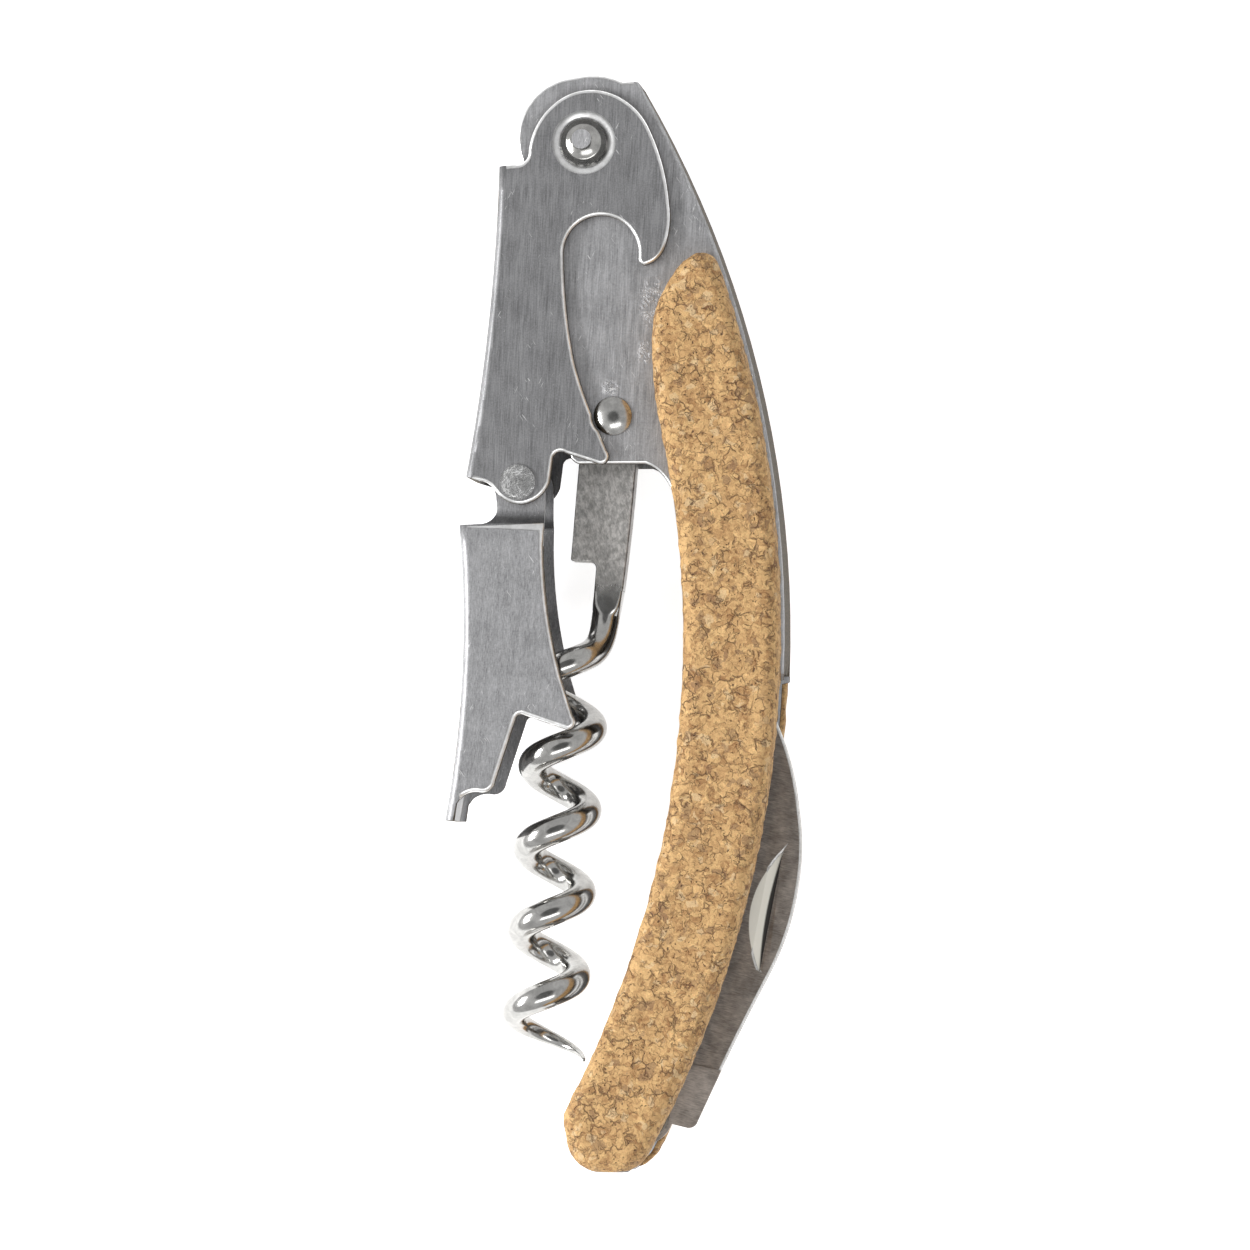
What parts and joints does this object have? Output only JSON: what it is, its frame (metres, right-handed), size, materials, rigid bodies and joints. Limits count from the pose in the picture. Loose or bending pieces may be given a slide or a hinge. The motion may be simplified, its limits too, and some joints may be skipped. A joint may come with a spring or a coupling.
{
  "type": "waiter's corkscrew",
  "caption": "Folding waiter's corkscrew: channel handle with cork scales, two-step lever with a cap hook, pivoting worm and folding foil cutter.",
  "frame": {"origin": "under the middle of the bounding box, on the flat crown of the rear cork scale", "axes": "+Y along the handle towards the lever's pivot, +Z across the thickness from the rear scale to the front scale, +X towards the handle's back"},
  "size_m": [0.0372, 0.115, 0.0172],
  "materials": {
    "satin_steel": "satin rolled sheet, fine lengthwise grain, tumbled edges",
    "polished_steel": "polished round wire and rivet heads",
    "ground_steel": "ground blade with a satin tang",
    "cork": "fine agglomerated cork, sanded, with pits and short cracks"
  },
  "bodies": {
    "handle": {"handle_frame": "satin_steel", "front_cork_scale": "cork", "rear_cork_scale": "cork", "lever_rivet": "polished_steel", "lever_spacer": "satin_steel", "worm_rivet": "polished_steel", "worm_washer_front": "satin_steel", "worm_washer_rear": "satin_steel", "blade_rivet": "polished_steel", "blade_washer_front": "satin_steel", "blade_washer_rear": "satin_steel"},
    "lever": {"lever_arm": "satin_steel", "foot_rivet": "polished_steel", "foot_spacer": "satin_steel"},
    "foot": {"lever_foot": "satin_steel"},
    "worm": {"worm": "polished_steel"},
    "blade": {"blade": "ground_steel"}
  },
  "joints": [
    {"name": "lever_hinge", "type": "hinge", "parent": "handle", "child": "lever", "pos_m": [-0.00392, 0.05028, 0.0086], "axis": [0, 0, -1], "range_deg": [0, 140]},
    {"name": "foot_hinge", "type": "hinge", "parent": "lever", "child": "foot", "pos_m": [-0.01087, 0.01462, 0.0086], "axis": [0, 0, -1], "range_deg": [-8, 35]},
    {"name": "worm_hinge", "type": "hinge", "parent": "handle", "child": "worm", "pos_m": [-0.00095, 0.02156, 0.0086], "axis": [0, 0, -1], "range_deg": [0, 95.2]},
    {"name": "blade_hinge", "type": "hinge", "parent": "handle", "child": "blade", "pos_m": [0.00148, -0.05122, 0.0086], "axis": [0, 0, -1], "range_deg": [0, 175]}
  ],
  "couplings": [
    {"joint": "worm_hinge", "follows": "lever_hinge", "ratio": 0.68}
  ]
}
